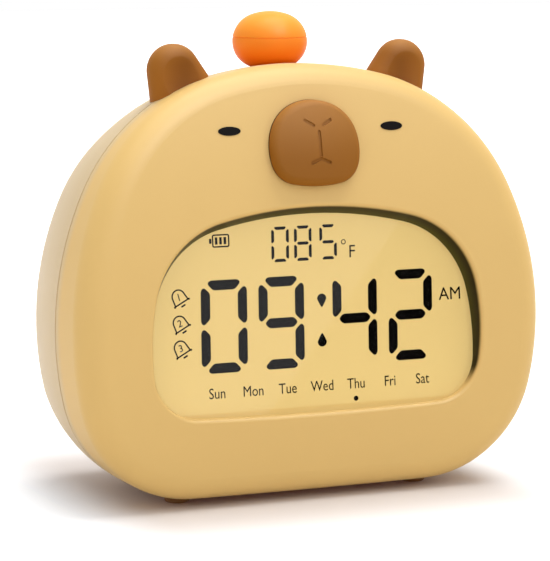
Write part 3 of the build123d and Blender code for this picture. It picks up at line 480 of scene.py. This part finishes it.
def drop(shape, x, y, point):
    """Teardrop of the colon, whose point is up for 1 and down for -1."""
    corners = [(across, -0.5 - up) for across, up in arc(DROP_R, range(0, 181, 20))]
    corners += [(-0.75, 0.45), (-0.15, 1.45), (0.15, 1.45), (0.75, 0.45)]
    outline_face(shape, [(x + across, y + point * up) for across, up in corners])


# ---- legends on the display ---------------------------------------------------------------------
# Width and height of a figure between its outer segments, then a segment's thickness, its length
# lying down and upright, and how much its corners are rounded.
TIME_FIGURE = {"wide": 9.4, "tall": 19.45,
               "thick": 2.35, "across": 8.5, "upright": 9.0, "soft": 0.55}
HEAT_FIGURE = {"wide": 3.8, "tall": 7.6,
               "thick": 0.74, "across": 3.1, "upright": 3.3, "soft": 0.17}
TIME_Y, HEAT_Y, DAY_Y = -0.1, 18.4, -15.6           # of the middle of each row
BELL_X = -34.0
BELL_TILT, NUMBER_TILT = radians(28), radians(-14)
DROP_R = 1.2
LINE = 0.34                         # width of the lines of the battery and bell signs
ROUND_SIDES = 24

time_shape = bmesh.new()
for figure, x in zip("0942", (-22.9, -8.2, 11.0, 25.8)):
    digit(time_shape, figure, x, TIME_Y, **TIME_FIGURE)
for y, point in ((4.5, -1), (-4.7, 1)):
    drop(time_shape, 2.3, y, point)
print_on("time_digits", time_shape, DISPLAY, -GLASS_DEPTH, slant=SLANT)

warmth = bmesh.new()
for figure, x in zip("085", (-8.3, -2.4, 4.2)):
    digit(warmth, figure, x, HEAT_Y, **HEAT_FIGURE)
word(warmth, "F", 10.4, 16.0, 3.1, squeeze=0.95)
bmesh.ops.create_circle(warmth, cap_ends=True, radius=0.62, segments=ROUND_SIDES,
                        matrix=Matrix.Translation((8.2, 18.2, 0)))
hollow(warmth, [face for face in warmth.faces if len(face.verts) == ROUND_SIDES], 0.2)
print_on("temperature_digits", warmth, DISPLAY, -GLASS_DEPTH, slant=SLANT)

battery = bmesh.new()
ringed(battery, oblong(-25.1, -20.7, 18.4, 21.5), 0.5, LINE)
for x in (-24.05, -22.95, -21.85):
    rounded(battery, oblong(x - 0.32, x + 0.32, 19.1, 20.8), 0.08)
rounded(battery, oblong(-25.85, -25.25, 19.35, 20.55), 0.2)
print_on("battery_sign", battery, DISPLAY, -GLASS_DEPTH)

bells = bmesh.new()
for number, y in zip("123", (7.2, 1.1, -4.7)):
    part = bmesh.new()
    dome = arc(1.75, range(0, 181, 15), y=0.3)
    ringed(part, dome + [(-1.95, -1.25), (-2.3, -1.55), (2.3, -1.55), (1.95, -1.25)], 0.05, LINE)
    rounded(part, oblong(-0.6, 0.6, -2.35, -1.95), 0.15)
    word(part, number, 0, 0.2, 1.75, squeeze=0.9, turn=NUMBER_TILT, weight=0.02)
    merge(bells, part, Matrix.Translation((BELL_X, y, 0)) @ Matrix.Rotation(BELL_TILT, 4, "Z"))
print_on("bell_signs", bells, DISPLAY, -GLASS_DEPTH)

words = bmesh.new()
word(words, "AM", 36.7, 4.5, 3.2, squeeze=0.97)
DAYS = {"Sun": -25.4, "Mon": -16.2, "Tue": -7.3, "Wed": 1.7, "Thu": 10.6, "Fri": 19.6, "Sat": 28.3}
for day, x in DAYS.items():
    word(words, day, x, DAY_Y, 2.6, squeeze=0.84)
bmesh.ops.create_circle(words, cap_ends=True, radius=0.6, segments=ROUND_SIDES,
                        matrix=Matrix.Translation((10.4, -19.3, 0)))
print_on("weekday_names", words, DISPLAY, -GLASS_DEPTH)

# ---- legends beside the rear keys and the slide switch, as seen from behind ---------------------
KEY_SIGNS_Z, SLIDER_Z = 71.0, 53.2
SET_X, UP_X, DOWN_X, LIGHT_X = -24.0, -8.0, 8.0, 24.0
BAR = oblong(-1.15, 1.15, -0.2, 0.2)
RAY = oblong(1.05, 1.65, -0.13, 0.13)
LIFT = 0.004                        # keeps the upright bar of the plus off the level one

signs = bmesh.new()
word(signs, "SET", SET_X, KEY_SIGNS_Z, 2.1, squeeze=0.95, weight=0.04)
for x, turn, lift in ((UP_X, 0, 0.0), (UP_X, 90, LIFT), (DOWN_X, 0, 0.0)):
    part = bmesh.new()
    outline_face(part, BAR)
    place = Matrix.Translation((x, KEY_SIGNS_Z, lift))
    merge(signs, part, place @ Matrix.Rotation(radians(turn), 4, "Z"))
lamp_sign = bmesh.new()
ringed(lamp_sign, arc(0.75, range(0, 360, 20)), 0.02, 0.25)
for turn in range(0, 360, 45):
    ray = bmesh.new()
    outline_face(ray, RAY)
    merge(lamp_sign, ray, Matrix.Rotation(radians(turn), 4, "Z"))
merge(signs, lamp_sign, Matrix.Translation((LIGHT_X, KEY_SIGNS_Z, 0)))
word(signs, "OFF", -8.4, SLIDER_Z, 1.8, squeeze=0.95, weight=0.03)
word(signs, "ON", 7.8, SLIDER_Z, 1.8, squeeze=0.95, weight=0.03)
print_on("rear_legends", signs, BACK, -BACK_DEPTH, legend_ink)


# ---- floor, background and light ----------------------------------------------------------------
SEEN_RAYS = "Camera", "Glossy", "Transmission"      # these meet the white of the studio
TABLE = (0.64, 0.61, 0.59)
TABLE_WHITES = (0.42, 0.47, 0.52), (0.6, 0.62, 0.65)        # added near the clock and further off
# Faint warm light painted into the clock's shadow on the table.
SHADOW_WARM_GLOW = (0.02, 0.0, 0.0)
SHADOW_MID_X = 0.001                # the painted light that trims the clock's shadow grows from here, to the sides and in depth
SHADOW_SIDES, SHADOW_DEPTH = (0.041, 0.068), (0.036, 0.075)
WHITE_RADII = (0.06, 0.14)
TABLE_HALF, FLAG_HALF = 3.0, 0.5    # half sides of the two cards
FLAG_EDGE = (0.2163, -0.4768, 0.0655)               # middle of the flag's edge
FLAG_FACING = (-0.4146, 0.9093, -0.0349)
FLAG_SLOPE = radians(39.0)
AMBIENT = 0.805
# Each lamp's power, spread, azimuth and elevation, and whether it lights more than gloss. Azimuth 0
# is in front of the clock and grows to the right.
LAMPS = {"key_lamp": (2.2, 40, 95, 75, True),
         "gloss_lamp": (5.5, 36, 16, 46, False),
         "top_gloss_lamp": (3.5, 60, -10, 80, False)}


def camera_share(finish):
    """1 for what the camera sees, directly or in gloss and through clear plastic, else 0."""
    rays = [finish.node("ShaderNodeLightPath", {}, result=f"Is {kind} Ray") for kind in SEEN_RAYS]
    limited = {"operation": "ADD", "use_clamp": True}
    return finish.node("ShaderNodeMath", limited, rays[0] + rays[1], rays[2])


def studio_card(name, half_side, finish, place=Matrix()):
    """Flat square that isn't part of the clock."""
    shape = bmesh.new()
    bmesh.ops.create_grid(shape, x_segments=1, y_segments=1, size=half_side)
    shape.transform(place)
    mesh = bpy.data.meshes.new(name)
    shape.to_mesh(mesh)
    shape.free()
    mesh.materials.append(finish.material)
    card = bpy.data.objects.new(name, mesh)
    bpy.context.scene.collection.objects.link(card)
    return card


def add_floor():
    """Table top that goes over into the white of the background, with painted light that trims the
    clock's shadow to an oval and a faint warm glow painted inside it.
    """
    top = Finish("white_table", TABLE, 0.9)
    x, y = top.axes()[:2]
    beside = (x - SHADOW_MID_X).size().ramp(*SHADOW_SIDES)
    before = y.size().ramp(*SHADOW_DEPTH)
    outside = 1.0 - (1.0 - beside) * (1.0 - before)
    white = top.blend((x * x + y * y).root().ramp(*WHITE_RADII), *TABLE_WHITES)
    top.set("Emission Color", top.blend(outside, SHADOW_WARM_GLOW, white))
    top.set("Emission Strength", camera_share(top))
    studio_card("table_top", TABLE_HALF, top)


def direction(azimuth, elevation):
    """From the clock towards a place around it, at these angles in degrees."""
    turn, rise = radians(azimuth), radians(elevation)
    return Vector((sin(turn) * cos(rise), -cos(turn) * cos(rise), sin(rise)))


def add_lamp(name, power, spread, azimuth, elevation, diffuse):
    """Soft light from far away."""
    light = bpy.data.lights.new(name, "SUN")
    light.energy, light.angle = power, radians(spread)
    lamp_object = bpy.data.objects.new(name, light)
    lamp_object.rotation_euler = direction(azimuth, elevation).to_track_quat("Z", "Y").to_euler()
    lamp_object.visible_diffuse = diffuse
    bpy.context.scene.collection.objects.link(lamp_object)


def add_flag():
    """Black card beside the camera that only reflections show, as on the right of the display."""
    facing = Vector(FLAG_FACING).to_track_quat("Z", "Y").to_matrix().to_4x4()
    edge = Matrix.Rotation(FLAG_SLOPE, 4, "Z") @ Matrix.Translation((-FLAG_HALF, 0, 0))
    black_card = Finish("flag_black", (0.0, 0.0, 0.0), 1.0, Specular_IOR_Level=0.0)
    place = Matrix.Translation(FLAG_EDGE) @ facing @ edge
    flag = studio_card("flag", FLAG_HALF, black_card, place)
    flag.visible_camera = flag.visible_diffuse = False
    flag.visible_shadow = flag.visible_transmission = False


def add_world():
    """White where the camera sees it, and the ambient light for everything else."""
    world = bpy.data.worlds.new("studio")
    world.use_nodes = True
    tree = world.node_tree
    back = tree.nodes["Background"]
    back.inputs["Color"].default_value = (1.0, 1.0, 1.0, 1.0)
    rays = tree.nodes.new("ShaderNodeLightPath")
    seen = rays.outputs[f"Is {SEEN_RAYS[0]} Ray"]
    for kind in SEEN_RAYS[1:]:
        add = tree.nodes.new("ShaderNodeMath")
        add.operation, add.use_clamp = "ADD", True
        tree.links.new(rays.outputs[f"Is {kind} Ray"], add.inputs[0])
        tree.links.new(seen, add.inputs[1])
        seen = add.outputs[0]
    level = tree.nodes.new("ShaderNodeMath")
    level.operation = "MULTIPLY_ADD"
    tree.links.new(seen, level.inputs[0])
    level.inputs[1].default_value = 1.0 - AMBIENT
    level.inputs[2].default_value = AMBIENT
    tree.links.new(level.outputs[0], back.inputs["Strength"])
    bpy.context.scene.world = world


add_floor()
add_world()
for name, lamp_facts in LAMPS.items():
    add_lamp(name, *lamp_facts)
add_flag()

# ---- camera -------------------------------------------------------------------------------------
AZIMUTH, ELEVATION = -24.0, 7.55
DISTANCE = 0.68824
LENS = 180.13
AIM = Vector((0.00111, 0.0005, 0.0493))
camera = bpy.data.objects.new("camera", bpy.data.cameras.new("camera"))
towards = direction(AZIMUTH, ELEVATION)
camera.location = AIM + towards * DISTANCE
camera.rotation_euler = towards.to_track_quat("Z", "Y").to_euler()
camera.data.lens = LENS
camera.data.clip_start, camera.data.clip_end = 0.01, 20.0
bpy.context.scene.collection.objects.link(camera)
bpy.context.scene.camera = camera
bpy.context.scene.view_settings.view_transform = "Standard"
